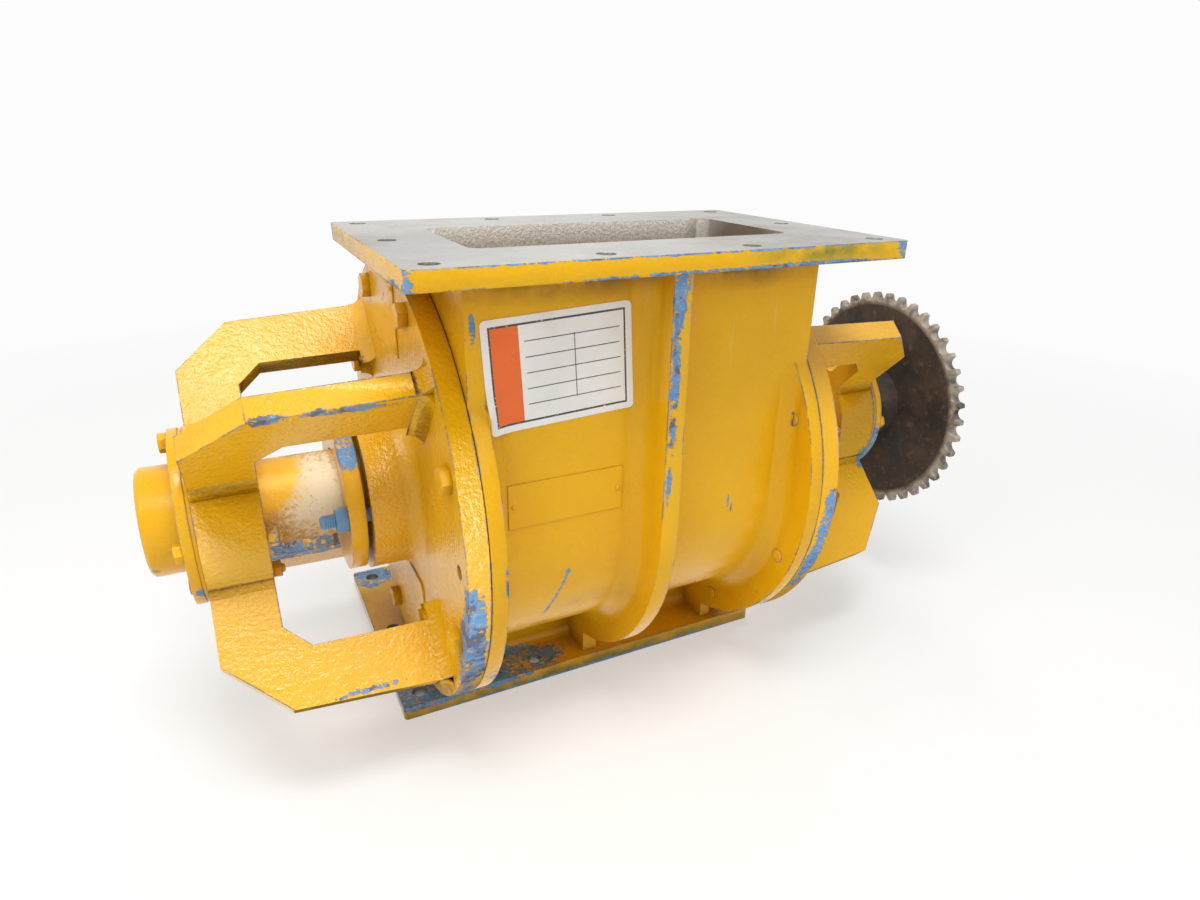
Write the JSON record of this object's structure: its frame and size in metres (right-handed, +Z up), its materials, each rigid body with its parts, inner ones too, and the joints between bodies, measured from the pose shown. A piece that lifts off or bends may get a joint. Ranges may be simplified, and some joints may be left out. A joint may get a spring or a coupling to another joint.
{
  "type": "rotary airlock valve",
  "caption": "Drop-through rotary airlock feeder with offset flanged ports, vaned rotor, stuffing boxes, outboard bearings on bracket arms and a chain sprocket.",
  "frame": {"origin": "on the outlet flange's lower face, at mid body, straight below the shaft axis", "axes": "+X along the shaft towards the sprocket, +Z up through the inlet, +Y towards the outlet's side; the inlet lies 75 mm towards -Y and the outlet 75 mm towards +Y of the shaft axis"},
  "size_m": [0.8191, 0.423, 0.456],
  "materials": {
    "yellow_paint": "thick glossy safety-yellow enamel over cast iron, chipped at edges",
    "blue_paint": "satin blue enamel, worn",
    "rusty_steel": "dull brown rust",
    "plain_steel": "plain machined steel",
    "bearing_steel": "ground bearing steel",
    "vane_steel": "worn mild steel plate",
    "cage_brass": "machined brass",
    "gasket_sheet": "compressed sheet",
    "packing_braid": "graphited square braid",
    "label_vinyl": "plain vinyl label, blank",
    "seal_rubber": "moulded lip seal"
  },
  "bodies": {
    "housing": {"valve_body": "yellow_paint", "body_nameplate": "yellow_paint", "end_tag": "yellow_paint", "idle_end_gasket": "gasket_sheet", "idle_end_plate": "yellow_paint", "idle_plate_bolts": "yellow_paint", "idle_packing": "packing_braid", "idle_gland_follower": "yellow_paint", "idle_gland_studs": "blue_paint", "idle_gland_nuts": "blue_paint", "idle_housing_seal": "seal_rubber", "idle_bearing_outer_race": "bearing_steel", "idle_cap_shim": "gasket_sheet", "idle_cap_bolts": "yellow_paint", "idle_cap_nuts": "yellow_paint", "idle_grease_fitting": "plain_steel", "drive_end_gasket": "gasket_sheet", "drive_end_plate": "yellow_paint", "drive_plate_bolts": "yellow_paint", "drive_packing": "packing_braid", "drive_gland_follower": "yellow_paint", "drive_gland_studs": "blue_paint", "drive_gland_nuts": "blue_paint", "drive_housing_seal": "seal_rubber", "drive_bearing_outer_race": "bearing_steel", "drive_cap_shim": "gasket_sheet", "drive_cap_bolts": "yellow_paint", "drive_cap_nuts": "yellow_paint", "drive_grease_fitting": "plain_steel", "idle_bearing_cap": "yellow_paint", "drive_bearing_retainer": "yellow_paint", "drive_shaft_seal": "seal_rubber"},
    "rotor": {"rotor_shaft": "rusty_steel", "rotor_key": "plain_steel", "rotor_vanes": "vane_steel", "vane_tips": "vane_steel", "tip_bolts": "plain_steel", "tip_nuts": "plain_steel", "drive_key": "plain_steel", "sprocket": "rusty_steel", "sprocket_set_screws": "plain_steel", "idle_bearing_inner_race": "bearing_steel", "drive_bearing_inner_race": "bearing_steel", "idle_snap_ring": "plain_steel", "drive_snap_ring": "plain_steel"},
    "idle_ball_cage": {"idle_bearing_balls": "bearing_steel", "idle_bearing_cage": "cage_brass"},
    "drive_ball_cage": {"drive_bearing_balls": "bearing_steel", "drive_bearing_cage": "cage_brass"}
  },
  "joints": [
    {"name": "rotor_spin", "type": "hinge", "parent": "housing", "child": "rotor", "pos_m": [0, 0, 0.228], "axis": [1, 0, 0], "continuous": true},
    {"name": "idle_cage_spin", "type": "hinge", "parent": "housing", "child": "idle_ball_cage", "pos_m": [0, 0, 0.228], "axis": [1, 0, 0], "continuous": true},
    {"name": "drive_cage_spin", "type": "hinge", "parent": "housing", "child": "drive_ball_cage", "pos_m": [0, 0, 0.228], "axis": [1, 0, 0], "continuous": true}
  ],
  "couplings": [
    {"joint": "idle_cage_spin", "follows": "rotor_spin", "ratio": 0.41027},
    {"joint": "drive_cage_spin", "follows": "rotor_spin", "ratio": 0.41027}
  ]
}
